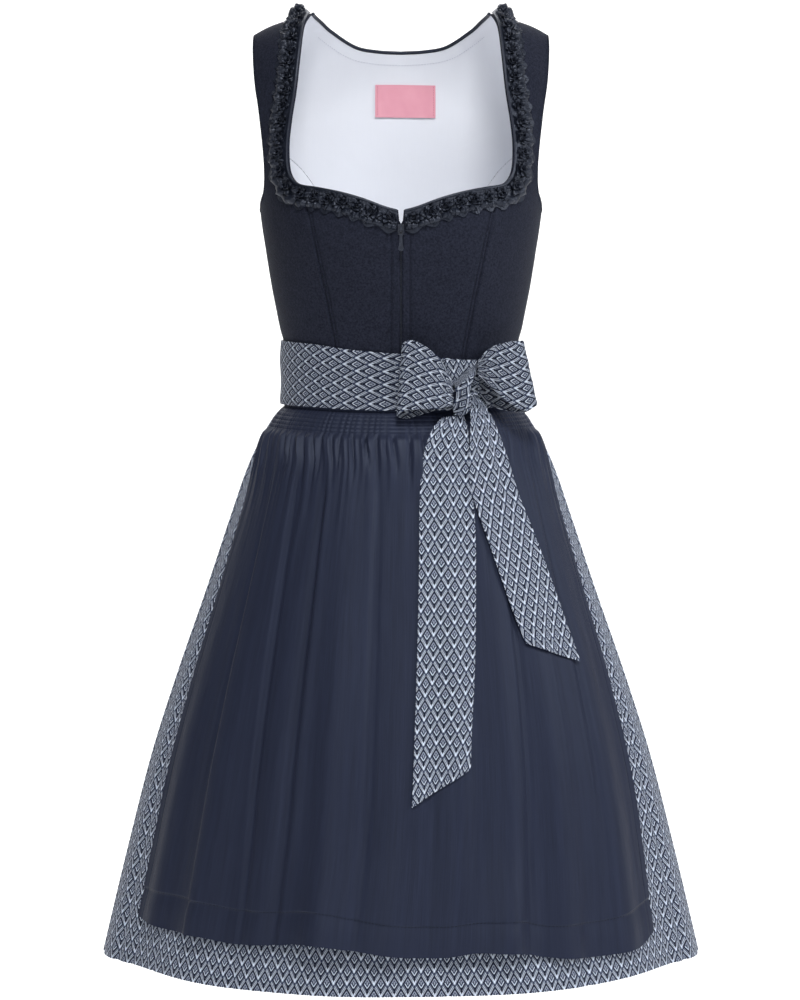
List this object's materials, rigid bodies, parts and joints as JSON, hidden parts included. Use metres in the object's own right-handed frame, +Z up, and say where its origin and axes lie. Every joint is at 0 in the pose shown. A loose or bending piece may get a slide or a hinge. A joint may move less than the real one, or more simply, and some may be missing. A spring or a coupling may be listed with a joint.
{
  "type": "dirndl dress with apron",
  "caption": "Sleeveless folk dress, worn hollow form: fitted bodice with ruched neck trim and front zip, flared patterned skirt, gathered satin apron and patterned tie with bow.",
  "frame": {"origin": "midway between the two shoulders, level with the top of the shoulder seams, where the wearer holds the dress up", "axes": "+Z up the body, -Y towards the dress's front, +X towards the wearer's left, which is the right of the picture"},
  "size_m": [0.6124, 0.5024, 0.9807],
  "materials": {
    "bodice_cloth": "fine matt woven wool, dark navy",
    "lining_cloth": "pale lavender lining, smooth",
    "label_cloth": "bare pink woven label",
    "jacquard": "navy and silver-blue jacquard, soft sheen",
    "apron_satin": "dark satin",
    "trim_ribbon": "ruched near-black ribbon",
    "zip_metal": "dark satin"
  },
  "bodies": {
    "dress": {"bodice_front_centre_l": "bodice_cloth", "bodice_front_centre_r": "bodice_cloth", "bodice_front_side_l": "bodice_cloth", "bodice_front_side_r": "bodice_cloth", "bodice_back_centre": "bodice_cloth", "bodice_back_side_l": "bodice_cloth", "bodice_back_side_r": "bodice_cloth", "lining_back_centre": "lining_cloth", "lining_back_side_l": "lining_cloth", "lining_back_side_r": "lining_cloth", "label": "label_cloth", "neck_binding": "trim_ribbon", "neck_trim_l": "trim_ribbon", "neck_trim_r": "trim_ribbon", "zip_tape": "trim_ribbon", "skirt_front": "jacquard", "skirt_back": "jacquard", "tie_band": "jacquard", "bow_loop_l": "jacquard", "bow_loop_r": "jacquard", "bow_knot": "jacquard", "tie_tail_long": "jacquard", "tie_tail_short": "jacquard", "apron": "apron_satin", "zip_slider": "zip_metal"},
    "pull_tab": {"zip_pull": "zip_metal"}
  },
  "joints": [
    {"name": "zip_pull_swing", "type": "hinge", "parent": "dress", "child": "pull_tab", "pos_m": [0, -0.12666, -0.2305], "axis": [-1, 0, 0], "range_deg": [0, 150]}
  ]
}
